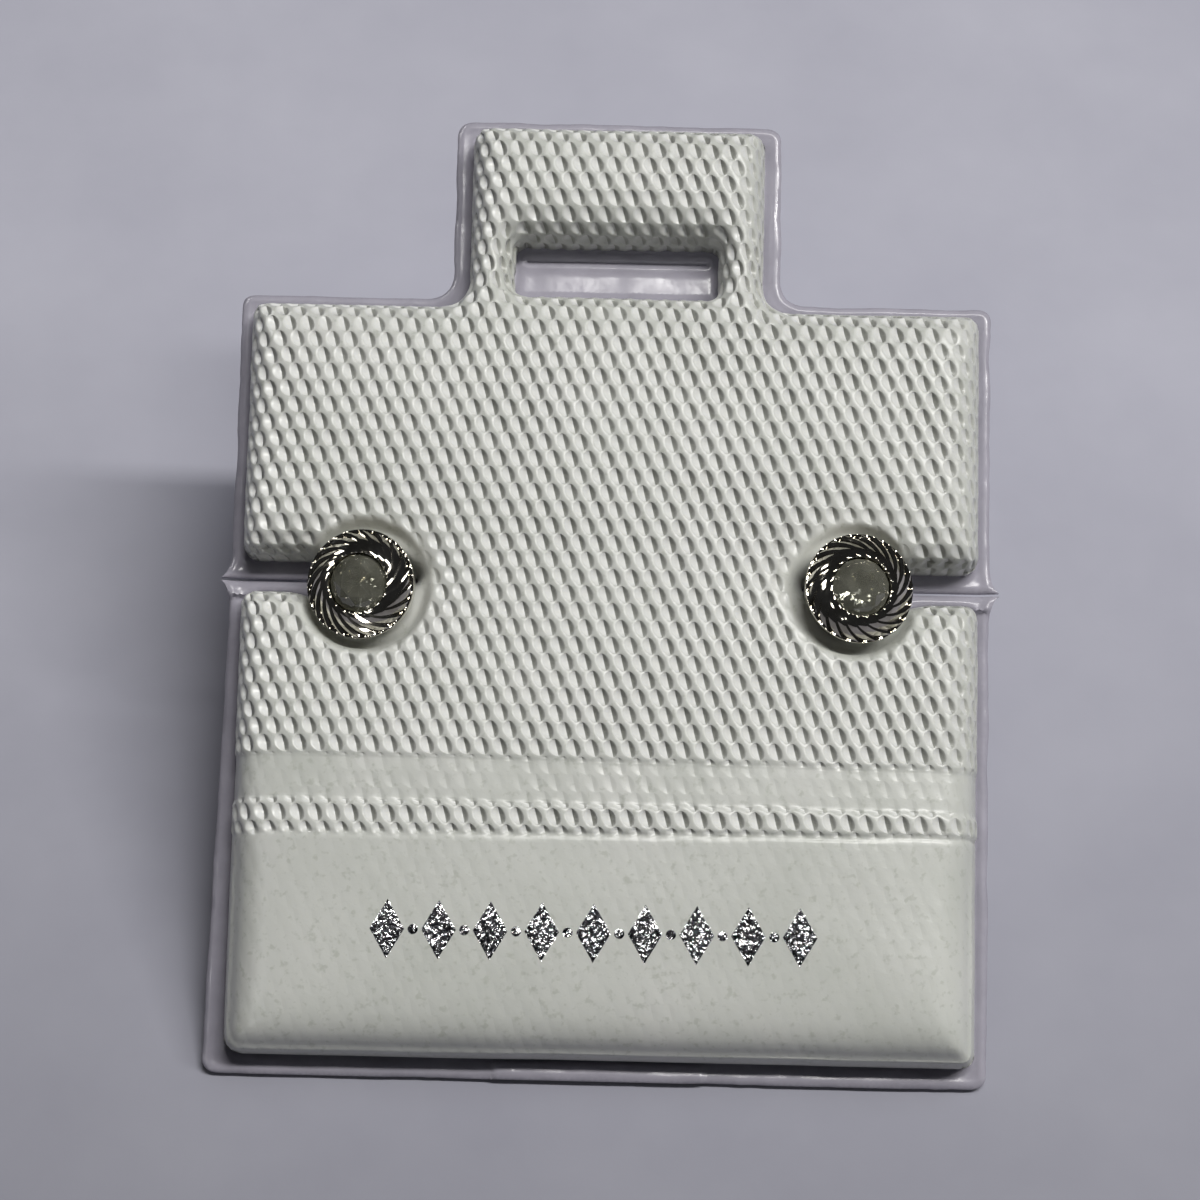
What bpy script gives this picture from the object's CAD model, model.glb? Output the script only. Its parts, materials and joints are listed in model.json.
import json
from math import atan2, cos, pi, radians, sin, sqrt, tan

import bmesh
import bpy
import numpy as np
from mathutils import Matrix, Vector
from mathutils.geometry import delaunay_2d_cdt

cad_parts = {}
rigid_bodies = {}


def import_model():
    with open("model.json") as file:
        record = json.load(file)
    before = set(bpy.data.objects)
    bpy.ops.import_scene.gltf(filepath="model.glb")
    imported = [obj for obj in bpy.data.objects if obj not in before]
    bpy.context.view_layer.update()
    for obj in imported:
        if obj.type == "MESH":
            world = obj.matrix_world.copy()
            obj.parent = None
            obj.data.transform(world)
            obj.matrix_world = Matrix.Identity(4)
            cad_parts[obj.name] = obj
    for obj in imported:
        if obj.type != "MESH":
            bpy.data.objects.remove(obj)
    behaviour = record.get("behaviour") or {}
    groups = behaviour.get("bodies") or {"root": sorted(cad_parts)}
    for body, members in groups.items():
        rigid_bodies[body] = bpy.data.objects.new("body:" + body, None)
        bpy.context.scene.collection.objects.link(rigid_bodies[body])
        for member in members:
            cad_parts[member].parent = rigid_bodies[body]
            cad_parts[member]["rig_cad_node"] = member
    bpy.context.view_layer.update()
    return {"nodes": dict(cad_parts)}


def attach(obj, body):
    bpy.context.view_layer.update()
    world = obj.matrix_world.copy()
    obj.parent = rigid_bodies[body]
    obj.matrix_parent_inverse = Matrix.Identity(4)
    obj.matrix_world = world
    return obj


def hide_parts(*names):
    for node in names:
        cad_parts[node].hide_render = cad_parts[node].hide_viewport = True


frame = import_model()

scene = bpy.context.scene
MM = 0.001

# ---- the card's own coordinates, in millimetres, as in the part's source ----------------
# u across, v up along the card from the padding's lower edge, w out of its face from the film's back.
LEAN = radians(24.5)
FLANGE_LOW = 0.65
SET_BACK = -14.646
SA, CA = sin(LEAN), cos(LEAN)
ORIGIN = np.array([0.0, SET_BACK, FLANGE_LOW * SA])
TO_WORLD = np.array([[1, 0, 0], [0, CA, -SA], [0, SA, CA]])  # columns are the card's u, v and w


def world(points):
    return (np.asarray(points, float) @ TO_WORLD.T + ORIGIN) * MM


def to_card(points_m):
    return (np.asarray(points_m, float) / MM - ORIGIN) @ TO_WORLD


PAD_W, PAD_H, TAB_W, TAB_TOP = 25.4, 26.0, 10.3, 32.48
SLOT_W, SLOT_V = 7.1, (26.42, 28.35)
FILM_SLOT_W, FILM_SLOT_V = 6.3, (27.88, 28.0)
FILM_T, FILM_GAP = 0.35, 0.05
SLIT_V, SLIT_W, SLIT_END, SLIT_TAPER = 16.38, 1.14, 6.55, 1.0
DROP_FROM, DROP_TO, DROP, TIP_DROP = 10.9, 9.5, 0.36, 0.08
CUT_V, CUT_W = 16.32, 0.12
POST_U, POST_V, POST_HOLE_R, POST_R = 7.92, 15.95, 0.56, 0.38
PAD_EDGE = 0.3
RISE, REACH, CROWN, CROWN_REACH = 1.9, 0.42, 0.5, 2.6
HEAD_R, STONE_R, HEAD_TOP = 1.87, 1.0, 1.36
CUTS, SWIRL = 20, radians(48)
STUDS = {"left": (-1, 10.0, -3.0, 20.0, 64.0), "right": (1, 10.0, 0.5, -35.0, 112.0)}
HALF = PAD_W / 2
LIP_LOW, LIP_HIGH = SLIT_V - SLIT_W / 2, SLIT_V + SLIT_W / 2

# the emboss: rows of diamond pits, every other row shifted by half a pitch
PITCH, ROW, PIT_U0, PIT_V0 = 0.615, 0.583, -0.09, 15.62
PIT_LEFT, PIT_RIGHT, PIT_B = 0.29, 0.19, 0.29  # a pit's reach to the left and right of its valley, and up and down
PIT_LEAN = 0.24  # how far a valley runs to the left for each millimetre up
PIT_DEPTH = 0.105
# pressed lines run a little off level: their height on the left and on the right, at 11 mm from the middle
EDGE_LINE_V = (7.38, 7.67)  # the smooth lower panel ends here
BAND_LOW_V, BAND_HIGH_V = (8.5, 8.43), (10.08, 9.94)  # a band pressed smooth


def lerp(a, b, t):
    return a + (b - a) * t


def line_at(pair, x):
    return lerp(pair[0], pair[1], (np.asarray(x, float) + 11) / 22)


def smooth(x, a=0.0, b=1.0):
    t = np.clip((np.asarray(x, float) - a) / (b - a), 0, 1)
    return t * t * (3 - 2 * t)


# ---- smooth deterministic noise in the plane ---------------------------------------------
def hash2(i, j, seed=0):
    n = (i.astype(np.int64) * 374761393 + j.astype(np.int64) * 668265263 + seed * 982451653) & 0xFFFFFFFF
    n = ((n ^ (n >> 13)) * 1274126177) & 0xFFFFFFFF
    return ((n ^ (n >> 16)) & 0xFFFFFF) / float(0xFFFFFF)


def noise2(x, y, seed=0):
    """Value noise from -1 to 1, features one unit across."""
    x, y = np.asarray(x, float), np.asarray(y, float)
    i, j = np.floor(x).astype(np.int64), np.floor(y).astype(np.int64)
    fx, fy = x - i, y - j
    fx, fy = fx * fx * (3 - 2 * fx), fy * fy * (3 - 2 * fy)
    a, b = hash2(i, j, seed), hash2(i + 1, j, seed)
    c, d = hash2(i, j + 1, seed), hash2(i + 1, j + 1, seed)
    return 2 * ((a * (1 - fx) + b * fx) * (1 - fy) + (c * (1 - fx) + d * fx) * fy) - 1


# ---- outlines -----------------------------------------------------------------------------
RIGHT_CORNERS = [
    (HALF, 0, 0.5), (HALF, LIP_LOW, 0.5), (DROP_FROM, LIP_LOW, 1.5), (DROP_TO, LIP_LOW - DROP, 1.5),
    (SLIT_END + SLIT_TAPER, LIP_LOW - DROP, 1.2), (SLIT_END, SLIT_V - TIP_DROP, 0.12), (SLIT_END + SLIT_TAPER, LIP_HIGH, 1.2),
    (HALF, LIP_HIGH, 0.5), (HALF, PAD_H, 0.5), (TAB_W / 2, PAD_H, 0.9), (TAB_W / 2, TAB_TOP, 0.55),
]  # u, v, rounding; solid on the left
PAD_CORNERS = RIGHT_CORNERS + [(-u, v, 0.6 if v == 0 else r) for u, v, r in RIGHT_CORNERS[::-1]]
SLOT_CORNERS = [(-SLOT_W / 2, SLOT_V[0], 0.35), (-SLOT_W / 2, SLOT_V[1], 0.35), (SLOT_W / 2, SLOT_V[1], 0.35), (SLOT_W / 2, SLOT_V[0], 0.35)]


def loop_points(corners, inset=0.0, step=0.12, straight=None):
    """The loop moved into the solid by inset, with the same number of points whatever the inset."""
    c = np.array([k[:2] for k in corners], float)
    n = len(c)
    d = np.roll(c, -1, 0) - c
    length = np.hypot(*d.T)
    d /= length[:, None]
    made = []
    for i in range(n):
        a, b, r0 = d[i - 1], d[i], corners[i][2]
        la, lb = np.array([-a[1], a[0]]), np.array([-b[1], b[0]])
        turn = atan2(a[0] * b[1] - a[1] * b[0], a @ b)
        sign = 1 if turn > 0 else -1
        r = r0 - inset * min(1, 1.25 * r0) if sign > 0 else r0 + inset
        t = tan(abs(turn) / 2)
        p = c[i] + inset * (la + lb) / (1 + a @ b)
        made.append((p, a, b, r, turn, r * t, r0 * t, la, sign, max(3, int(round(abs(turn) * max(r0, 0.35) / step)))))
    out = []
    for i, (p, a, b, r, turn, back, base, la, sign, arc) in enumerate(made):
        start = p - a * back
        centre = start + la * sign * r
        spoke = start - centre
        for k in range(arc + 1):
            q = turn * k / arc
            out.append(centre + np.array([spoke[0] * cos(q) - spoke[1] * sin(q), spoke[0] * sin(q) + spoke[1] * cos(q)]))
        nxt = made[(i + 1) % n]
        steps = max(1, int(round((length[i] - base - nxt[6]) / (straight or step))))
        first, last = out[-1], nxt[0] - b * nxt[5]
        out.extend(lerp(first, last, k / steps) for k in range(1, steps))
    return np.array(out)


# ---- the padding's height --------------------------------------------------------------------
COARSE = [loop_points(PAD_CORNERS, 0, 0.3, 100), loop_points(SLOT_CORNERS, 0, 0.3, 100)]
EDGE_P = np.concatenate(COARSE)
EDGE_Q = np.concatenate([np.roll(c, -1, 0) for c in COARSE])


def smooth_distance(x, y):
    """A smooth stand-in for the distance to the outline: integrates 1/r^4 along every edge in closed form."""
    x, y = np.asarray(x, float), np.asarray(y, float)
    out = np.empty(x.shape)
    e = EDGE_Q - EDGE_P
    l = np.hypot(e[:, 0], e[:, 1])
    for a in range(0, x.size, 4000):
        X, Y = x.ravel()[a : a + 4000, None], y.ravel()[a : a + 4000, None]
        px, py = EDGE_P[:, 0] - X, EDGE_P[:, 1] - Y
        s0 = (px * e[:, 0] + py * e[:, 1]) / l
        s1 = s0 + l
        h = np.maximum(np.abs(px * e[:, 1] - py * e[:, 0]) / l, 2e-3)
        f = lambda s: s / (2 * h * h * (h * h + s * s)) + np.arctan(s / h) / (2 * h**3)
        out.ravel()[a : a + 4000] = np.cbrt(pi / 2 / (f(s1) - f(s0)).sum(1))
    return out


class Stud:
    """Where a stud stands: its axis and the underside of its head, read from the CAD node."""

    def __init__(self, side):
        self.sign, out_deg, up_deg, self.turn, self.clutch_deg = STUDS[side]
        self.base = np.array([self.sign * POST_U, POST_V, FILM_T / 2])
        rx, ry = -radians(up_deg), radians(self.sign * out_deg)
        turn_x = np.array([[1, 0, 0], [0, cos(rx), -sin(rx)], [0, sin(rx), cos(rx)]])
        turn_y = np.array([[cos(ry), 0, sin(ry)], [0, 1, 0], [-sin(ry), 0, cos(ry)]])
        self.R = turn_x @ turn_y  # columns: the stud's x, y and axis, in card coordinates
        self.axis = self.R[:, 2]
        co = np.array([v.co for v in frame["nodes"][side + "_setting_and_post"].data.vertices])
        self.along = ((to_card(co) - self.base) @ self.axis).max() - HEAD_TOP
        self.under = self.base + self.axis * self.along

    def place(self, points, along=0.0):
        """Points in the stud's frame, z from the underside of the head, to card coordinates."""
        p = np.asarray(points, float) + np.array([0, 0, along])
        return p @ self.R.T + self.under


studs = {side: Stud(side) for side in STUDS}


def profile(d):
    """The padding's height and slope at a distance from the weld, before studs press on it."""
    e, c = np.exp(-d / REACH), np.exp(-d / CROWN_REACH)
    root = np.sqrt(np.maximum(1 - e, 1e-9))
    return PAD_EDGE + RISE * root + CROWN * (1 - c), RISE * e / (2 * REACH * root) + CROWN / CROWN_REACH * c


# how much longer the skin is than its plan, from a distance d inwards
_d = np.concatenate([[0], np.geomspace(1e-5, 6, 900)])
_z, _ = profile(_d)
_step = np.hypot(np.diff(_d), np.diff(_z)) - np.diff(_d)
EXCESS = (_d, np.concatenate([np.cumsum(_step[::-1])[::-1], [0]]))


def base_height(x, y, d):
    """The padding over its foot before the emboss."""
    height = profile(d)[0]
    # the smooth panel bulges softer
    height = height - 0.5 * np.exp(-d / 0.75) * smooth(d, 0.0, 0.35) * (1 - smooth(y, 5.5, 9.0))
    for s in studs.values():
        c, n = s.under, s.axis
        r = np.hypot(x - c[0], y - c[1])
        under = c[2] - ((x - c[0]) * n[0] + (y - c[1]) * n[1]) / n[2] - FILM_T - FILM_GAP
        cap = under - 0.1 + (3.1 - under) * smooth(r, 1.9, 2.72)
        k = 0.22
        mix = np.maximum(0, k - np.abs(height - cap)) / k
        pressed = np.minimum(height, cap) - mix * mix * k / 4
        height = np.where(r < 2.72, np.minimum(height, pressed), height)
    return np.maximum(PAD_EDGE, height)


def emboss(s, t, x, y):
    """Depth of the emboss below the skin, in mm, the pits' strength from 0 to 1, and their own coordinates."""
    ws = s + 0.012 * noise2(s / 2.3, t / 2.3, 3) + 0.006 * noise2(s * 1.3, t * 1.3, 4)
    wt = t + 0.012 * noise2(s / 2.3, t / 2.3, 5) + 0.006 * noise2(s * 1.3, t * 1.3, 6)
    near = []
    for k in (0.0, 0.5):
        ds = ((((ws - PIT_U0) / PITCH + k + 0.5) % 1) - 0.5) * PITCH
        dt = ((((wt - PIT_V0) / (2 * ROW) + k + 0.5) % 1) - 0.5) * 2 * ROW
        ds = ds + PIT_LEAN * dt
        near.append(np.sqrt(np.maximum(0, 1 - (dt / PIT_B) ** 2)) - np.maximum(ds / PIT_RIGHT, -ds / PIT_LEFT))
    f = np.cos(2 * pi * (ws - PIT_U0) / PITCH) * np.cos(pi * (wt - PIT_V0) / ROW)
    pit = np.maximum(0, np.maximum(*near)) ** 1.25 + 0.2 * (1 + f)  # a valley upright in each pit
    row = np.round((wt - PIT_V0) / ROW)
    col = np.round((ws - PIT_U0) / PITCH - 0.5 * (row % 2))
    each = 1 + 0.3 * (hash2(col.astype(np.int64), row.astype(np.int64), 9) - 0.5)
    wave = 1 + 0.14 * noise2(s / 3.1, t / 3.1, 11)
    wob = 0.05 * noise2(x / 0.9, 7.0 + 0 * y, 13)
    edge = y - line_at(EDGE_LINE_V, x) - wob * 0.5
    lower = 1 - smooth(edge, -0.05, 0.12)
    band = smooth(y - line_at(BAND_LOW_V, x) - wob, -0.12, 0.1) * (1 - smooth(y - line_at(BAND_HIGH_V, x) - wob, -0.08, 0.1))
    full = (1 - lower) * (1 - band)
    # the emboss is ironed flatter next to the right edges
    worn = np.maximum(smooth(x, 10.9, 12.5), smooth(x, 3.7, 5.1) * smooth(y, 27.5, 29.5)) * 0.5
    strength = each * wave * full * (1 - worn)
    for stud in studs.values():  # pressed smooth round the heads
        strength = strength * smooth(np.hypot(x - stud.under[0], y - stud.under[1]), 2.15, 2.7)
    strength = strength + 0.05 * lower * (0.6 + 0.4 * noise2(x / 2.2, y / 1.6, 17)) + 0.1 * band * (0.7 + 0.6 * noise2(x / 1.1, y / 0.8, 19))
    depth = PIT_DEPTH * strength * pit
    # the pressed band lies low, and the lower panel steps down at its top edge
    depth = depth + band * 0.1 + lower * lerp(0.045, 0.11, smooth(x, -7.5, 0.5))
    depth = depth + np.exp(-(((edge + 0.03) / 0.075) ** 2)) * lerp(0.02, 0.07, smooth(x, -7.5, 0.5))
    depth = depth + 0.02 * noise2(s / 1.7, t / 1.7, 21)
    return depth, strength, ws, wt


def skin(points, inward=None):
    """Points of the finished skin over (x, y), with the emboss's own coordinates and strength.
    inward is the direction away from the weld, where it is known."""
    x, y = points[:, 0], points[:, 1]
    d = smooth_distance(x, y)
    z = base_height(x, y, d)
    if inward is None:
        e = 0.02
        dx = [smooth_distance(x + k, y) for k in (e, -e)]
        dy = [smooth_distance(x, y + k) for k in (e, -e)]
        g = np.column_stack([dx[0] - dx[1], dy[0] - dy[1]]) / (2 * e)
        zx = (base_height(x + e, y, dx[0]) - base_height(x - e, y, dx[1])) / (2 * e)
        zy = (base_height(x, y + e, dy[0]) - base_height(x, y - e, dy[1])) / (2 * e)
        g /= np.maximum(np.hypot(*g.T), 1.0)[:, None]
    else:
        g = inward
        slope = np.minimum(profile(np.maximum(d, 1e-6))[1], 40)
        zx, zy = g[:, 0] * slope, g[:, 1] * slope
    normal = np.column_stack([-zx, -zy, np.ones(len(x))])
    normal /= np.sqrt((normal**2).sum(1))[:, None]
    excess = 0.85 * np.maximum(0, np.interp(d, *EXCESS) - np.interp(0.75, *EXCESS))
    depth, strength, ws, wt = emboss(x - g[:, 0] * excess, y - g[:, 1] * excess, x, y)
    p = np.column_stack([x, y, z + FILM_T + FILM_GAP]) - normal * (depth * smooth(d, -0.05, 0.06))[:, None]
    p[:, 2] = np.maximum(p[:, 2], FILM_T + FILM_GAP)
    return p, np.column_stack([ws, wt, strength])


# ---- mesh helpers ------------------------------------------------------------------------------
def make(name, verts_card, faces, smooth_shade=True, coords="card", attributes=None, sharp=None):
    me = bpy.data.meshes.new(name)
    co = world(verts_card) if coords == "card" else np.asarray(verts_card, float)
    me.from_pydata(co.tolist(), [], faces.tolist() if isinstance(faces, np.ndarray) else faces)
    me.update()
    me.validate()
    if smooth_shade:
        me.polygons.foreach_set("use_smooth", np.ones(len(me.polygons), bool))
        if sharp is not None:
            me.set_sharp_from_angle(angle=radians(sharp))
    for key, values in (attributes or {}).items():
        values = np.asarray(values, np.float32)
        if values.ndim == 1:
            me.attributes.new(key, "FLOAT", "POINT").data.foreach_set("value", values)
        else:
            me.attributes.new(key, "FLOAT_VECTOR", "POINT").data.foreach_set("vector", values.ravel())
    ob = bpy.data.objects.new(name, me)
    scene.collection.objects.link(ob)
    return ob


def inside_loops(points, loops):
    """Even-odd test of points against closed loops."""
    x, y = points[:, 0], points[:, 1]
    odd = np.zeros(len(points), bool)
    for loop in loops:
        for p, q in zip(loop, np.roll(loop, -1, 0)):
            if p[1] == q[1]:
                continue
            hit = ((p[1] > y) != (q[1] > y)) & (x < (q[0] - p[0]) * (y - p[1]) / (q[1] - p[1]) + p[0])
            odd ^= hit
    return odd


def loop_distance(points, loops):
    """Distance from each point to the loops."""
    p = np.concatenate(loops)
    q = np.concatenate([np.roll(l, -1, 0) for l in loops])
    e = q - p
    l2 = (e * e).sum(1)
    out = np.empty(len(points))
    for a in range(0, len(points), 3000):
        d = points[a : a + 3000, None] - p
        t = np.clip((d * e).sum(2) / l2, 0, 1)
        out[a : a + 3000] = np.sqrt(((d - t[..., None] * e) ** 2).sum(2)).min(1)
    return out


def triangulate(loops, inner):
    """Delaunay triangles between closed loops and the free points inside them. Points keep their order: loops, then inner."""
    points = np.concatenate(list(loops) + ([inner] if len(inner) else []))
    edges, at = [], 0
    for loop in loops:
        n = len(loop)
        edges += [(at + i, at + (i + 1) % n) for i in range(n)]
        at += n
    vs, _, faces, orig, _, _ = delaunay_2d_cdt([Vector(p) for p in points.tolist()], edges, [], 0, 1e-7, True)
    index = np.array([o[0] if o else -1 for o in orig])
    tri = index[np.array([f for f in faces if len(f) == 3])]
    tri = tri[(tri >= 0).all(1)]
    on_edge = (tri < at).all(1)
    keep = np.ones(len(tri), bool)
    keep[on_edge] = inside_loops(points[tri[on_edge]].mean(1), loops)
    tri = tri[keep]
    a, b, c = points[tri[:, 0]], points[tri[:, 1]], points[tri[:, 2]]
    flip = (b[:, 0] - a[:, 0]) * (c[:, 1] - a[:, 1]) - (b[:, 1] - a[:, 1]) * (c[:, 0] - a[:, 0]) < 0
    tri[flip] = tri[flip][:, ::-1]
    return points, tri


def ring_faces(a, b, n):
    """Quads between two rings of n points that start at a and b."""
    i = np.arange(n)
    j = (i + 1) % n
    return np.stack([a + i, a + j, b + j, b + i], 1)


# ---- the padding ----------------------------------------------------------------------------------
def build_pad():
    step = 0.112
    share = np.linspace(0, 0.87, 20)
    insets = -REACH * np.log(1 - share * share)
    loops = [[loop_points(c, k, step) for c in (PAD_CORNERS, SLOT_CORNERS)] for k in insets]
    counts = [len(l) for l in loops[0]]
    starts, verts, attrs, quads, at = [], [], [], [], 0
    for k, pair in enumerate(loops):
        row = []
        for j, loop in enumerate(pair):
            g = loops[-1][j] - loops[0][j]
            g /= np.hypot(*g.T)[:, None]
            p, a = skin(loop, g if insets[k] < 0.17 else None)
            if k == 0:
                p[:, 2] = FILM_T + FILM_GAP
            verts.append(p)
            attrs.append(a)
            row.append(at)
            at += len(loop)
        starts.append(row)
    for k in range(len(loops) - 1):
        for j, n in enumerate(counts):
            quads.append(ring_faces(starts[k][j], starts[k + 1][j], n))
    # inside the last ring: a grid in step with the pits, coarser where the vinyl is smooth
    inner = loops[-1]
    fine_u, fine_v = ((PITCH / 8, ROW / 6))
    U, V = np.meshgrid(PIT_U0 + fine_u * np.arange(-200, 201), PIT_V0 + fine_v * np.arange(-230, 260))
    g = np.column_stack([U.ravel(), V.ravel()])
    g = g[(np.abs(g[:, 0]) < HALF) & (g[:, 1] > EDGE_LINE_V[0] - 0.4) & (g[:, 1] < TAB_TOP)]
    U, V = np.meshgrid(np.arange(-12.6, 12.7, 0.2), np.arange(0.1, EDGE_LINE_V[0] - 0.45, 0.2))
    g = np.concatenate([g, np.column_stack([U.ravel(), V.ravel()])])
    g = g[inside_loops(g, inner)]
    g = g[loop_distance(g, inner) > 0.05]
    points, tri = triangulate(inner, g)
    p, a = skin(g)
    verts.append(p)
    attrs.append(a)
    remap = np.concatenate([np.arange(starts[-1][j], starts[-1][j] + counts[j]) for j in range(2)] + [np.arange(at, at + len(g))])
    foot_points, foot = triangulate(loops[0], np.zeros((0, 2)))
    foot_map = np.concatenate([np.arange(starts[0][j], starts[0][j] + counts[j]) for j in range(2)])
    faces = [f for q in quads for f in q.tolist()] + remap[tri].tolist() + foot_map[foot][:, ::-1].tolist()
    return make("puffed_pad_skin", np.concatenate(verts), faces, attributes={"sheet": np.concatenate(attrs)})


# ---- the film ------------------------------------------------------------------------------------------
def curve2(p, c, q, n=8):
    t = np.linspace(0, 1, n + 1)[1:, None]
    return (1 - t) ** 2 * np.array(p) + 2 * t * (1 - t) * np.array(c) + t * t * np.array(q)


def film_side(low):
    """The film's outer edge on the right, from the bottom over the cut to the tab; low is how far it reaches out at the bottom."""
    low, high, tip = HALF + low, HALF + 0.46, HALF + 0.78
    bottom, top, tab, tab_top = -FLANGE_LOW, PAD_H + 0.5, TAB_W / 2 + 0.6, TAB_TOP + 0.52
    cuts = (CUT_V - CUT_W / 2, CUT_V + CUT_W / 2)
    mouth = [np.arcsin((v - POST_V) / POST_HOLE_R) for v in cuts]
    R = 0.55
    side = [(low - R, bottom)]
    side += curve2((low - R, bottom), (low, bottom), (low, bottom + R)).tolist()
    side += [(low * 0.6 + high * 0.4, 6.0), (high, CUT_V - 0.95)]
    side += curve2((high, CUT_V - 0.95), (high + 0.03, cuts[0] - 0.2), (tip, cuts[0])).tolist()
    side += [(POST_U + POST_HOLE_R * cos(a), POST_V + POST_HOLE_R * sin(a)) for a in np.linspace(mouth[0], mouth[1] - 2 * pi, 28)]
    side += [(tip, cuts[1])]
    side += curve2((tip, cuts[1]), (high + 0.03, cuts[1] + 0.2), (high, CUT_V + 0.95)).tolist()
    side += [(high, top - 0.45)]
    side += curve2((high, top - 0.45), (high, top), (high - 0.45, top)).tolist()
    side += [(tab + 1.0, top)]
    side += curve2((tab + 1.0, top), (tab, top), (tab, top + 1.0)).tolist()
    side += [(tab, tab_top - 0.6)]
    side += curve2((tab, tab_top - 0.6), (tab, tab_top), (tab - 0.6, tab_top)).tolist()
    return np.array(side)


def film_outline():
    """The film's outer edge, from one side to the other through both cuts, anticlockwise."""
    return np.concatenate([film_side(0.42), film_side(0.76)[::-1] * [-1, 1]])


def dense(loop, step):
    out = []
    for p, q in zip(loop, np.roll(loop, -1, 0)):
        n = max(1, int(round(np.hypot(*(q - p)) / step)))
        out.extend(lerp(p, q, k / n) for k in range(n))
    return np.array(out)


def build_film():
    outer = dense(film_outline(), 0.13)
    w, (s0, s1) = FILM_SLOT_W / 2, (sum(FILM_SLOT_V) / 2 - 0.02, sum(FILM_SLOT_V) / 2 + 0.02)  # the cut stands closed
    r = 0.015
    hole = [(-w + r, s0)]
    hole += curve2((-w + r, s0), (-w, s0), (-w, s0 + r), 4).tolist() + [(-w, s1 - r)] + curve2((-w, s1 - r), (-w, s1), (-w + r, s1), 4).tolist()
    hole += [(w - r, s1)] + curve2((w - r, s1), (w, s1), (w, s1 - r), 4).tolist() + [(w, s0 + r)] + curve2((w, s0 + r), (w, s0), (w - r, s0), 4).tolist()
    hole = dense(np.array(hole), 0.13)
    # the outer edge was cut by hand tool along the weld: it wanders a little
    t = np.roll(outer, -1, 0) - np.roll(outer, 1, 0)
    t /= np.hypot(*t.T)[:, None]
    wander = 0.035 * noise2(outer[:, 0] / 1.3, outer[:, 1] / 1.3, 31) + 0.012 * noise2(outer[:, 0] / 0.3, outer[:, 1] / 0.3, 32)
    away = np.hypot(np.abs(outer[:, 0]) - POST_U, outer[:, 1] - CUT_V) > 5.2
    near_cut = np.abs(outer[:, 1] - CUT_V) < 0.5
    wander = np.where(near_cut & ~away, 0, wander)
    wander[outer[:, 1] < -FLANGE_LOW + 0.02] = np.minimum(0, wander[outer[:, 1] < -FLANGE_LOW + 0.02])
    outer = outer + np.column_stack([t[:, 1], -t[:, 0]]) * np.where(near_cut, 0, wander)[:, None]
    outer[:, 1] = np.maximum(outer[:, 1], -FLANGE_LOW)
    loops = [outer, hole]
    step = 0.1
    U, V = np.meshgrid(np.arange(-13.6, 13.61, step), np.arange(-0.7, 33.4, step))
    V = V + (np.arange(V.shape[1]) % 2)[None] * step / 2
    g = np.column_stack([U.ravel(), V.ravel()])
    g = g[inside_loops(g, loops)]
    d = loop_distance(g, loops)
    i, j = np.round(g[:, 0] / step).astype(int), np.round(g[:, 1] / step).astype(int)
    keep = (d > 0.05) & ((d < 1.15) | ((i % 6 == 0) & (j % 6 == 0)))
    g, d = g[keep], d[keep]
    points, tri = triangulate(loops, g)
    n_edge = len(outer) + len(hole)
    dist = np.concatenate([np.zeros(n_edge), d])
    pad = [loop_points(PAD_CORNERS, 0, 0.3), loop_points(SLOT_CORNERS, 0, 0.3)]
    near = loop_distance(points, pad)
    under_pad = inside_loops(points, pad)
    weld = np.exp(-((near / 0.14) ** 2))
    clear = np.where(under_pad, 0, smooth(near, 0, 0.12))
    bead = 0.06 * (1 - smooth(dist, 0.0, 0.12)) - 0.035 * np.exp(-(((dist - 0.2) / 0.1) ** 2))
    top = FILM_T - 0.03 - bead - 0.07 * weld
    top = top + clear * (0.01 * noise2(points[:, 0] / 0.6, points[:, 1] / 0.6, 33) + 0.02 * noise2(points[:, 0] / 1.6, points[:, 1] / 1.6, 34))
    # the film is drawn up towards the lower lip of the slot and of both slits
    u, v = points.T
    rest = np.where(np.abs(u) < SLOT_W / 2, np.clip(1.0 - (v - SLOT_V[0]), 0, 1) * 0.085, 0) * smooth(near, 0, 0.05)
    lips = np.full(len(points), 9.0)
    lips = np.where((np.abs(u) > SLIT_END + 1) & (v > LIP_LOW - DROP) & (v < CUT_V), v - LIP_LOW, lips)
    drawn = np.where(under_pad, 0, smooth(near, 0, 0.07)) * np.where(lips > -0.1, np.clip(1 - lips / 0.85, 0, 1) ** 1.3, 0) * 0.2
    # the tips at the mouths of the cuts curl up a little
    curl = drawn + np.where(under_pad, 0, rest) + smooth(np.abs(points[:, 0]), 12.75, 13.5) * np.exp(-(((points[:, 1] - CUT_V) / 0.75) ** 2)) * 0.18
    n = len(points)
    verts = np.concatenate([np.column_stack([points, top + curl]), np.column_stack([points, curl * 0.9])])
    faces = tri.tolist() + (tri[:, ::-1] + n).tolist()
    for a, loop in ((0, outer), (len(outer), hole)):
        faces += ring_faces(a + n, a, len(loop)).tolist()
    return make("film_with_flange", verts, faces, sharp=65)


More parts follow.
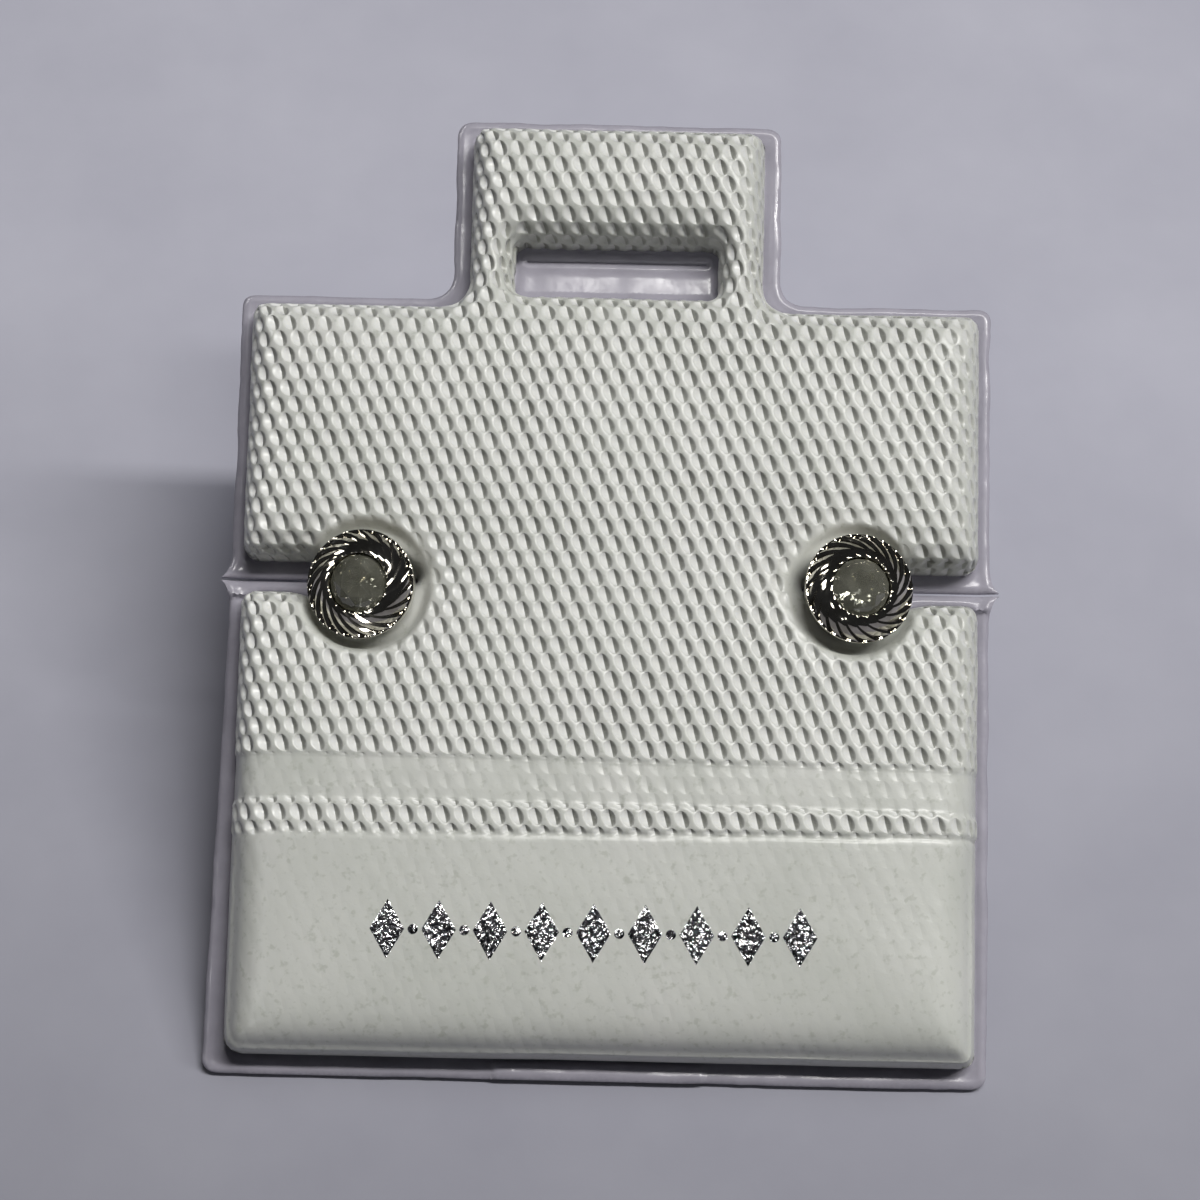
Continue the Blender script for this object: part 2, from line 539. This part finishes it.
# ---- the studs ---------------------------------------------------------------------------------------------
def build_setting(side):
    s = studs[side]
    sub = 10
    around = CUTS * sub
    post = frame_post_length(side)
    # radius, distance from the head's underside, share of a cut's depth
    profile_line = [
        (0.10, -post, 0), (0.2, -post + 0.02, 0), (0.29, -post + 0.09, 0), (0.36, -post + 0.22, 0), (0.38, -post + 0.36, 0), (0.38, -post + 1.28, 0),
        (0.372, -post + 1.33, 0), (0.315, -post + 1.43, 0), (0.3, -post + 1.5, 0), (0.3, -post + 1.56, 0), (0.315, -post + 1.63, 0), (0.372, -post + 1.73, 0),
        (0.38, -post + 1.78, 0), (0.38, -0.22, 0), (0.4, -0.12, 0), (0.47, -0.04, 0), (0.6, 0.0, 0), (1.45, 0.0, 0), (1.56, 0.018, 0), (1.65, 0.06, 0),
        (1.715, 0.13, 0), (1.755, 0.22, 0), (1.79, 0.4, 0), (1.825, 0.62, 0), (1.85, 0.8, 0), (1.865, 0.86, 0), (1.87, 0.89, 0), (1.868, 0.915, 0), (1.858, 0.94, 0),
    ]
    rows = 20
    for k in range(rows + 1):
        q = k / rows  # from the rim over the crown to the stone's seat
        r = lerp(1.845, 1.07, q)
        z = 0.95 + 0.41 * (1 - (1 - q) ** 1.75)
        share = float(smooth(q, -0.02, 0.07)) * (1 - 0.45 * q)
        profile_line.append((r, z, share))
    profile_line += [(1.04, 1.35, 0.3), (1.015, 1.325, 0.1), (1.005, 1.26, 0), (1.005, 1.06, 0), (0.98, 0.98, 0), (0.62, 0.66, 0), (0.3, 0.4, 0)]
    turn = radians(s.turn)
    verts, at = [], []
    inward = 0.0
    for r, z, cut in profile_line:
        if cut:
            inward = (HEAD_R - r) / (HEAD_R - STONE_R)
        i = np.arange(around)
        x = (i % sub) / sub - 0.5
        x = np.where(i % sub == 0, -0.5, x)
        scoop = np.minimum((x + 0.5) / 0.3, (0.5 - x) / 0.7)  # a short face and a long one, 0 on the ridges
        scoop = np.where(i % sub == 0, 0, scoop)
        a = 2 * pi * i / around - SWIRL * inward + turn
        depth = 0.115 * cut * scoop * (r / HEAD_R)
        rr = r - depth * 0.3
        verts.append(np.column_stack([rr * np.cos(a), rr * np.sin(a), z - depth]))
        at.append(len(at) * around)
    first, last = len(profile_line) * around, len(profile_line) * around + 1
    verts.append(np.array([[0, 0, -post], [0, 0, 0.34]]))
    faces = []
    for k in range(len(profile_line) - 1):
        faces += ring_faces(at[k], at[k + 1], around).tolist()
    i = np.arange(around)
    j = (i + 1) % around
    faces += np.column_stack([np.full(around, first), j, i]).tolist()
    faces += np.column_stack([np.full(around, last), at[-1] + i, at[-1] + j]).tolist()
    return make(side + "_diamond_cut_setting", s.place(np.concatenate(verts)), faces, sharp=24)


def frame_post_length(side):
    s = studs[side]
    co = np.array([v.co for v in frame["nodes"][side + "_setting_and_post"].data.vertices])
    along = (to_card(co) - s.under) @ s.axis
    return -along.min()


def build_stone(side):
    """A round brilliant: table, stars, kites and upper girdle above, mains and lower girdle below."""
    s = studs[side]
    R = STONE_R * 0.985
    rings = [
        [(0.56 * R, 1.5, 8, 0.0)], [(0.8 * R, 1.372, 8, 0.5)], [(R, 1.165, 16, 0.0)], [(R, 1.115, 16, 0.0)], [(0.62 * R, 0.86, 8, 0.5)], [(0.03 * R, 0.50, 8, 0.5)],
    ]
    pts = []
    for ((r, z, n, off),) in rings:
        for i in range(n):
            a = 2 * pi * (i + off) / n + radians(s.turn)
            pts.append((r * cos(a), r * sin(a), z))
    bm = bmesh.new()
    vs = [bm.verts.new(p) for p in pts]
    bmesh.ops.convex_hull(bm, input=vs)
    bmesh.ops.delete(bm, geom=[v for v in bm.verts if not v.link_faces], context="VERTS")
    bmesh.ops.dissolve_limit(bm, angle_limit=radians(1.0), verts=bm.verts, edges=bm.edges)
    bmesh.ops.recalc_face_normals(bm, faces=bm.faces)
    co = np.array([v.co for v in bm.verts])
    bm.verts.index_update()
    faces = [[v.index for v in f.verts] for f in bm.faces]
    bm.free()
    return make(side + "_brilliant_stone", s.place(co), faces, smooth_shade=False)


def build_clutch(side):
    """A butterfly back: a sprung strip, dished round the post, with both ends curled back towards it."""
    s = studs[side]
    thick, width, reach, curl, hole = 0.24, 3.3, 1.32, 0.9, 0.5
    line = [np.array([x, 0.0]) for x in np.linspace(0, reach - 0.02, 9)]
    for k in range(1, 41):
        t = k / 40
        a = pi / 2 - t * radians(300)
        r = curl * (1 - 0.36 * t)
        line.append(np.array([reach - 0.06 * t + r * cos(a), -curl + r * sin(a)]))
    line = [p * [-1, 1] for p in line[:0:-1]] + line
    line = np.array(line)
    n = 15
    tang = np.gradient(line, axis=0)
    tang /= np.hypot(*tang.T)[:, None]
    norm = np.column_stack([-tang[:, 1], tang[:, 0]])
    flip = np.where(np.arange(len(line))[:, None] >= 0, 1, 1)
    run = np.concatenate([[0], np.cumsum(np.hypot(*np.diff(line, axis=0).T))])
    run -= run[-1] / 2
    half_width = 0.5 * width * lerp(1.0, 0.74, smooth(np.abs(run), 0.9, 3.4))
    # round the free ends
    end = run[-1] - np.abs(run)
    half_width = half_width * np.sqrt(np.clip(1 - (1 - np.clip(end / 0.5, 0, 1)) ** 2, 0.12, 1))
    bm = bmesh.new()
    grid = []
    for i, (p, q) in enumerate(zip(line, norm)):
        row = []
        for k in range(n):
            y = (2 * k / (n - 1) - 1) * half_width[i]
            r = np.hypot(p[0], y) if abs(run[i]) < 1.3 else 9
            dish = -0.14 * np.exp(-((r / 0.62) ** 2))  # a dimple that guides the post
            c = p + q * dish
            row.append(bm.verts.new((c[0], y, c[1])))
        grid.append(row)
    for i in range(len(grid) - 1):
        for k in range(n - 1):
            bm.faces.new((grid[i][k], grid[i][k + 1], grid[i + 1][k + 1], grid[i + 1][k]))
    me = bpy.data.meshes.new("strip")
    bm.to_mesh(me)
    bm.free()
    ob = bpy.data.objects.new("strip", me)
    scene.collection.objects.link(ob)
    solid = ob.modifiers.new("thick", "SOLIDIFY")
    solid.thickness, solid.offset = thick, 0
    drill_me = bpy.data.meshes.new("drill")
    bm = bmesh.new()
    bmesh.ops.create_cone(bm, cap_ends=True, segments=40, radius1=hole, radius2=hole, depth=8)
    bm.to_mesh(drill_me)
    bm.free()
    drill = bpy.data.objects.new("drill", drill_me)
    scene.collection.objects.link(drill)
    cut = ob.modifiers.new("hole", "BOOLEAN")
    cut.operation, cut.object, cut.solver = "DIFFERENCE", drill, "EXACT"
    soft = ob.modifiers.new("edges", "BEVEL")
    soft.width, soft.segments, soft.limit_method, soft.angle_limit = 0.035, 2, "ANGLE", radians(50)
    deps = bpy.context.evaluated_depsgraph_get()
    done = bpy.data.meshes.new_from_object(ob.evaluated_get(deps))
    co = np.empty(len(done.vertices) * 3)
    done.vertices.foreach_get("co", co)
    co = co.reshape(-1, 3)
    faces = [list(p.vertices) for p in done.polygons]
    for o in (ob, drill):
        bpy.data.objects.remove(o)
    turn = radians(s.clutch_deg)
    z = np.array([[cos(turn), -sin(turn), 0], [sin(turn), cos(turn), 0], [0, 0, 1]])
    co = co @ z.T
    back = -FILM_T / 2 - 0.85
    card = (co + [0, 0, back]) @ s.R.T + s.base
    return make(side + "_butterfly_clutch", card, faces, sharp=40)


# ---- the foil ornament in the lower panel -------------------------------------------------------------------
def surface(points):
    """Height of the skin over points of the smooth panel."""
    return skin(points)[0][:, 2]


def build_foil():
    """A plain row of hot-stamped lozenges and dots, lying in the smooth panel."""
    verts, faces, at = [], [], 0
    centre_v = 4.2
    step = 1.72
    shapes = []
    for i in range(-4, 5):
        u = i * step - 0.25
        shapes.append((u, centre_v, 0.58, 0.98, 4))
    for i in range(-4, 4):
        shapes.append(((i + 0.5) * step - 0.25, centre_v, 0.17, 0.17, 20))
    for cu, cv, a, b, n in shapes:
        if n == 4:
            ring = np.array([(cu + a, cv), (cu, cv + b), (cu - a, cv), (cu, cv - b)])
            ring = dense(ring, 0.06)
        else:
            ang = np.linspace(0, 2 * pi, n, endpoint=False)
            ring = np.column_stack([cu + a * np.cos(ang), cv + b * np.sin(ang)])
        ring = ring + 0.008 * np.column_stack([noise2(ring[:, 0] / 0.08, ring[:, 1] / 0.08, 41), noise2(ring[:, 0] / 0.08, ring[:, 1] / 0.08, 42)])
        U, V = np.meshgrid(np.arange(cu - a, cu + a, 0.06), np.arange(cv - b, cv + b, 0.06))
        g = np.column_stack([U.ravel(), V.ravel()])
        g = g[inside_loops(g, [ring])]
        g = g[loop_distance(g, [ring]) > 0.025]
        pts, tri = triangulate([ring], g)
        z = surface(pts)
        edge = np.concatenate([np.zeros(len(ring)), loop_distance(g, [ring])])
        crinkle = 0.014 * noise2(pts[:, 0] / 0.11, pts[:, 1] / 0.11, 43) + 0.01 * noise2(pts[:, 0] / 0.2, pts[:, 1] / 0.2, 44)
        z = z + 0.012 + np.where(edge > 0, np.maximum(-0.006, crinkle), -0.004) + 0.012 * smooth(edge, 0, 0.06)
        n_p, m = len(pts), len(ring)
        low = surface(ring) - 0.02
        verts += [np.column_stack([pts, z]), np.column_stack([ring, low])]
        faces += (tri + at).tolist() + ring_faces(at + n_p, at, m).tolist()
        faces.append([at + n_p + k for k in range(m)][::-1])
        at += n_p + m
    return make("foil_lozenges", np.concatenate(verts), faces, sharp=50)


# ---- materials ---------------------------------------------------------------------------------------------
class Nodes:
    def __init__(self, name):
        self.mat = bpy.data.materials.new(name)
        self.mat.use_nodes = True
        self.tree = self.mat.node_tree
        self.bsdf = self.tree.nodes["Principled BSDF"]
        self.out = self.tree.nodes["Material Output"]

    def add(self, kind, **settings):
        node = self.tree.nodes.new(kind)
        for k, v in settings.items():
            setattr(node, k, v)
        return node

    def link(self, a, b):
        self.tree.links.new(a, b)

    def value(self, node, **inputs):
        for k, v in inputs.items():
            node.inputs[k.replace("_", " ")].default_value = v
        return node

    def math(self, op, a, b=None, clamp=False):
        n = self.add("ShaderNodeMath", operation=op, use_clamp=clamp)
        for i, x in enumerate((a, b)):
            if x is None:
                continue
            if isinstance(x, (int, float)):
                n.inputs[i].default_value = x
            else:
                self.link(x, n.inputs[i])
        return n.outputs[0]

    def noise(self, scale, detail=2.0, rough=0.5, vector=None):
        n = self.add("ShaderNodeTexNoise")
        n.inputs["Scale"].default_value = scale
        n.inputs["Detail"].default_value = detail
        n.inputs["Roughness"].default_value = rough
        if vector is not None:
            self.link(vector, n.inputs["Vector"])
        return n.outputs["Fac"]

    def ramp(self, fac, stops):
        n = self.add("ShaderNodeValToRGB")
        e = n.color_ramp.elements
        while len(e) < len(stops):
            e.new(0.5)
        for el, (pos, col) in zip(e, stops):
            el.position = pos
            el.color = (*col, 1) if len(col) == 3 else col
        self.link(fac, n.inputs["Fac"])
        return n.outputs["Color"]

    def mix(self, fac, a, b, blend="MIX"):
        n = self.add("ShaderNodeMix", data_type="RGBA", blend_type=blend)
        for sock, x in ((n.inputs[0], fac), (n.inputs[6], a), (n.inputs[7], b)):
            if isinstance(x, (int, float)):
                sock.default_value = x
            elif isinstance(x, tuple):
                sock.default_value = (*x, 1)
            else:
                self.link(x, sock)
        return n.outputs[2]

    def bump(self, height, strength, distance, after=None):
        n = self.add("ShaderNodeBump")
        n.inputs["Strength"].default_value = strength
        n.inputs["Distance"].default_value = distance
        self.link(height, n.inputs["Height"])
        if after is not None:
            self.link(after, n.inputs["Normal"])
        return n.outputs["Normal"]


def vinyl_material():
    m = Nodes("puffed_vinyl")
    b = m.bsdf
    coord = m.add("ShaderNodeTexCoord").outputs["Object"]
    split = m.add("ShaderNodeSeparateXYZ")
    m.link(m.add("ShaderNodeAttribute", attribute_name="sheet").outputs["Vector"], split.inputs[0])
    near, shade, clean = [], [], []
    for k in (0.0, 0.5):
        parts = []
        for sock, start, period in ((0, PIT_U0, PITCH), (1, PIT_V0, 2 * ROW)):
            turn = m.math("FRACT", m.math("ADD", m.math("DIVIDE", m.math("ADD", split.outputs[sock], -start), period), k + 0.5))
            parts.append(m.math("MULTIPLY", m.math("ADD", turn, -0.5), period))
        rise = m.math("DIVIDE", parts[1], PIT_B)
        arch = m.math("SQRT", m.math("MAXIMUM", m.math("SUBTRACT", 1.0, m.math("MULTIPLY", rise, rise)), 0.0))
        across = m.math("ADD", parts[0], m.math("MULTIPLY", parts[1], PIT_LEAN))
        dark = m.math("DIVIDE", across, PIT_RIGHT)
        near.append(m.math("SUBTRACT", arch, m.math("MAXIMUM", dark, m.math("DIVIDE", across, -PIT_LEFT))))
        clean.append(m.math("MULTIPLY", m.math("MULTIPLY", m.math("ADD", m.math("MULTIPLY", dark, -6.0), 0.5, True), m.math("MULTIPLY", m.math("ADD", near[-1], 0.12), 2.2, True)), split.outputs[2], True))
        shade.append(m.math("MULTIPLY", m.math("MULTIPLY", m.math("ADD", m.math("MULTIPLY", dark, 6.0), 0.3, True), m.math("MULTIPLY", near[-1], 2.5, True)), split.outputs[2], True))
    pit = m.math("MULTIPLY", m.math("POWER", m.math("MAXIMUM", m.math("MAXIMUM", *near), 0.0), 1.25), split.outputs[2])
    cloud = m.noise(260.0, 3.0, 0.55, coord)
    fine = m.noise(2600.0, 2.0, 0.6, coord)
    base = m.ramp(cloud, [(0.3, (0.57, 0.585, 0.54)), (0.52, (0.61, 0.622, 0.58)), (0.75, (0.645, 0.65, 0.615))])
    dirt = m.math("MULTIPLY", m.math("MAXIMUM", *shade), 0.46, True)
    base = m.mix(m.ramp(m.noise(3600.0, 2.0, 0.6, coord), [(0.3, (0.5, 0.5, 0.5)), (0.43, (0, 0, 0))]), base, (0.42, 0.44, 0.38))
    base = m.mix(m.math("MULTIPLY", m.math("MAXIMUM", *clean), 0.85, True), base, (0.86, 0.865, 0.84))
    color = m.mix(dirt, base, (0.17, 0.17, 0.135))
    m.link(color, b.inputs["Base Color"])
    m.link(m.math("ADD", m.math("MULTIPLY", fine, 0.14), 0.27), b.inputs["Roughness"])
    b.inputs["Specular IOR Level"].default_value = 0.65
    b.inputs["Subsurface Weight"].default_value = 0.12
    b.inputs["Subsurface Radius"].default_value = (1.0, 0.95, 0.8)
    b.inputs["Subsurface Scale"].default_value = 0.0001
    n = m.bump(m.math("MULTIPLY", pit, -1.0), 1.0, 0.000105)
    n = m.bump(m.noise(9000.0, 2.0, 0.6, coord), 0.25, 0.00001, n)
    n = m.bump(m.noise(2200.0, 2.0, 0.5, coord), 0.3, 0.00002, n)
    m.link(n, b.inputs["Normal"])
    return m.mat


def film_material():
    m = Nodes("clear_film")
    b = m.bsdf
    coord = m.add("ShaderNodeTexCoord").outputs["Object"]
    cloud = m.noise(900.0, 3.0, 0.6, coord)
    m.link(m.ramp(cloud, [(0.3, (0.4, 0.385, 0.445)), (0.7, (0.47, 0.45, 0.52))]), b.inputs["Base Color"])
    b.inputs["Alpha"].default_value = 0.78
    b.inputs["IOR"].default_value = 1.5
    m.link(m.math("ADD", m.math("MULTIPLY", m.noise(1500.0, 2.0, 0.5, coord), 0.16), 0.12), b.inputs["Roughness"])
    n = m.bump(m.noise(1500.0, 2.0, 0.5, coord), 0.4, 0.00003)
    m.link(n, b.inputs["Normal"])
    return m.mat


def silver_material():
    m = Nodes("polished_silver")
    b = m.bsdf
    coord = m.add("ShaderNodeTexCoord").outputs["Object"]
    b.inputs["Metallic"].default_value = 1.0
    m.link(m.ramp(m.noise(1500.0, 3.0, 0.6, coord), [(0.35, (0.4, 0.375, 0.31)), (0.6, (0.6, 0.57, 0.5))]), b.inputs["Base Color"])
    m.link(m.math("ADD", m.math("MULTIPLY", m.noise(2000.0, 3.0, 0.6, coord), 0.1), 0.03), b.inputs["Roughness"])
    n = m.bump(m.noise(2400.0, 2.0, 0.5, coord), 0.25, 0.000008)
    m.link(n, b.inputs["Normal"])
    return m.mat


def clutch_material():
    m = Nodes("clutch_silver")
    b = m.bsdf
    coord = m.add("ShaderNodeTexCoord").outputs["Object"]
    b.inputs["Metallic"].default_value = 1.0
    m.link(m.ramp(m.noise(1100.0, 3.0, 0.6, coord), [(0.35, (0.6, 0.59, 0.56)), (0.65, (0.76, 0.75, 0.72))]), b.inputs["Base Color"])
    stretch = m.add("ShaderNodeMapping")
    m.link(coord, stretch.inputs["Vector"])
    stretch.inputs["Scale"].default_value = (1.0, 6.0, 1.0)
    m.link(m.math("ADD", m.math("MULTIPLY", m.noise(4000.0, 3.0, 0.6, stretch.outputs["Vector"]), 0.2), 0.12), b.inputs["Roughness"])
    m.link(m.bump(m.noise(6000.0, 2.0, 0.5, stretch.outputs["Vector"]), 0.3, 0.000008), b.inputs["Normal"])
    return m.mat


def stone_material():
    m = Nodes("clear_stone")
    b = m.bsdf
    coord = m.add("ShaderNodeTexCoord").outputs["Object"]
    m.link(m.ramp(m.noise(1500.0, 3.0, 0.6, coord), [(0.3, (0.22, 0.22, 0.17)), (0.7, (0.42, 0.42, 0.35))]), b.inputs["Base Color"])
    b.inputs["Transmission Weight"].default_value = 0.72
    b.inputs["IOR"].default_value = 1.9
    b.inputs["Roughness"].default_value = 0.03
    return m.mat


def foil_material():
    m = Nodes("hot_foil")
    b = m.bsdf
    coord = m.add("ShaderNodeTexCoord").outputs["Object"]
    b.inputs["Metallic"].default_value = 1.0
    m.link(m.ramp(m.noise(8000.0, 2.0, 0.65, coord), [(0.47, (0.035, 0.035, 0.04)), (0.56, (0.95, 0.95, 0.96))]), b.inputs["Base Color"])
    m.link(m.math("ADD", m.math("MULTIPLY", m.noise(7000.0, 2.0, 0.6, coord), 0.2), 0.04), b.inputs["Roughness"])
    n = m.bump(m.noise(5200.0, 2.0, 0.7, coord), 1.0, 0.0001)
    m.link(n, b.inputs["Normal"])
    return m.mat


def floor_material():
    m = Nodes("pale_floor")
    b = m.bsdf
    coord = m.add("ShaderNodeTexCoord").outputs["Object"]
    pale = m.ramp(m.noise(90.0, 4.0, 0.6, coord), [(0.3, (0.45, 0.45, 0.525)), (0.7, (0.51, 0.51, 0.585))])
    at = m.add("ShaderNodeSeparateXYZ")
    m.link(coord, at.inputs[0])
    along = m.math("ADD", m.math("MULTIPLY", at.outputs[1], 22.0), m.math("ADD", m.math("MULTIPLY", at.outputs[0], 3.0), 0.5))
    m.link(m.mix(1.0, pale, m.ramp(along, [(0.0, (0.62, 0.62, 0.62)), (0.9, (0.98, 0.98, 0.98))]), "MULTIPLY"), b.inputs["Base Color"])
    b.inputs["Roughness"].default_value = 0.85
    b.inputs["Specular IOR Level"].default_value = 0.2
    m.link(m.bump(m.noise(1400.0, 3.0, 0.6, coord), 0.25, 0.00003), b.inputs["Normal"])
    return m.mat


# ---- camera, floor and lights -------------------------------------------------------------------------------
def camera():
    data = bpy.data.cameras.new("camera")
    data.sensor_fit = "HORIZONTAL"
    data.sensor_width = 36.0
    data.lens = 94.8656
    data.clip_start, data.clip_end = 0.001, 10.0
    ob = bpy.data.objects.new("camera", data)
    scene.collection.objects.link(ob)
    right = Vector((0.9996925, 0.0247213, 0.0019274))
    up = Vector((-0.0215910, 0.8296093, 0.5579268))
    back = right.cross(up).normalized()
    ob.matrix_world = Matrix.Translation(Vector((1.0134, -61.5164, 98.1594)) * MM) @ Matrix((right, up, back)).transposed().to_4x4()
    scene.camera = ob


def area(name, direction, distance, size, power, color=(1, 1, 1), target=(0, 0, 0.006), mirrored=True, lighting=True):
    data = bpy.data.lights.new(name, "AREA")
    data.energy, data.color = power, color
    if isinstance(size, tuple):
        data.shape, data.size, data.size_y = "RECTANGLE", *size
    else:
        data.shape, data.size = "DISK", size
    ob = bpy.data.objects.new(name, data)
    scene.collection.objects.link(ob)
    d = Vector(direction).normalized()
    ob.location = Vector(target) + d * distance
    ob.rotation_euler = d.to_track_quat("Z", "Y").to_euler()
    ob.visible_glossy, ob.visible_diffuse = mirrored, lighting
    return ob


def stage():
    me = bpy.data.meshes.new("floor")
    n, size = 24, 0.9
    xs = np.linspace(-size / 2, size / 2, n)
    v = [(x, y, 0.0) for y in xs for x in xs]
    f = [(j * n + i, j * n + i + 1, (j + 1) * n + i + 1, (j + 1) * n + i) for j in range(n - 1) for i in range(n - 1)]
    me.from_pydata(v, [], f)
    ob = bpy.data.objects.new("floor", me)
    scene.collection.objects.link(ob)
    me.materials.append(floor_material())
    w = bpy.data.worlds.new("studio")
    scene.world = w
    w.use_nodes = True
    w.node_tree.nodes["Background"].inputs["Color"].default_value = (0.62, 0.64, 0.7, 1)
    w.node_tree.nodes["Background"].inputs["Strength"].default_value = 0.04
    # a strip of light, narrow along the card and long across it
    area("key", (0.37, -0.01, 0.93), 0.6, (0.05, 0.48), 3.0, (1.0, 0.985, 0.96))
    area("overhead", (0.3, 0.2, 0.93), 0.6, 0.42, 0.72, (0.94, 0.96, 1.0), mirrored=False)
    # small panels that only show as sparks in the metal, the stones and the film
    area("panel_left", (-0.62, -0.39, 0.67), 0.6, 0.09, 0.2, lighting=False)
    area("panel_top", (-0.5, 0.66, 0.56), 0.6, 0.17, 0.75, lighting=False)
    area("panel_side", (-0.68, 0.26, 0.68), 0.6, 0.19, 0.9, lighting=False)
    area("panel_front", (-0.45, -0.8, 0.35), 0.6, 0.08, 0.15, lighting=False)


camera()
stage()

# ---- pieces ------------------------------------------------------------------------------------------------
for node in frame["nodes"].values():
    node.data.materials.clear()

vinyl, film_mat, silver, clutch_mat, stone_mat, foil = vinyl_material(), film_material(), silver_material(), clutch_material(), stone_material(), foil_material()


def finish(ob, material, slot, *nodes):
    ob.data.materials.append(material)
    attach(ob, "root")
    if nodes:
        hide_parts(*nodes)
    return ob


pad = finish(build_pad(), vinyl, "vinyl", "puffed_pad")
finish(build_film(), film_mat, "film", "backing_film")
finish(build_foil(), foil, "silver")
for side in STUDS:
    finish(build_setting(side), silver, "silver", side + "_setting_and_post")
    finish(build_stone(side), stone_mat, "stone", side + "_stone")
    finish(build_clutch(side), clutch_mat, "silver", side + "_clutch")

scene.view_settings.view_transform = "Standard"
scene.view_settings.look = "None"
scene.view_settings.exposure = 0.0
scene.view_settings.gamma = 1.0

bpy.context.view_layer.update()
for ob in scene.objects:
    if ob.type == "MESH" and "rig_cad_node" not in ob:
        ob.data.calc_loop_triangles()
        print("piece", ob.name, len(ob.data.loop_triangles))
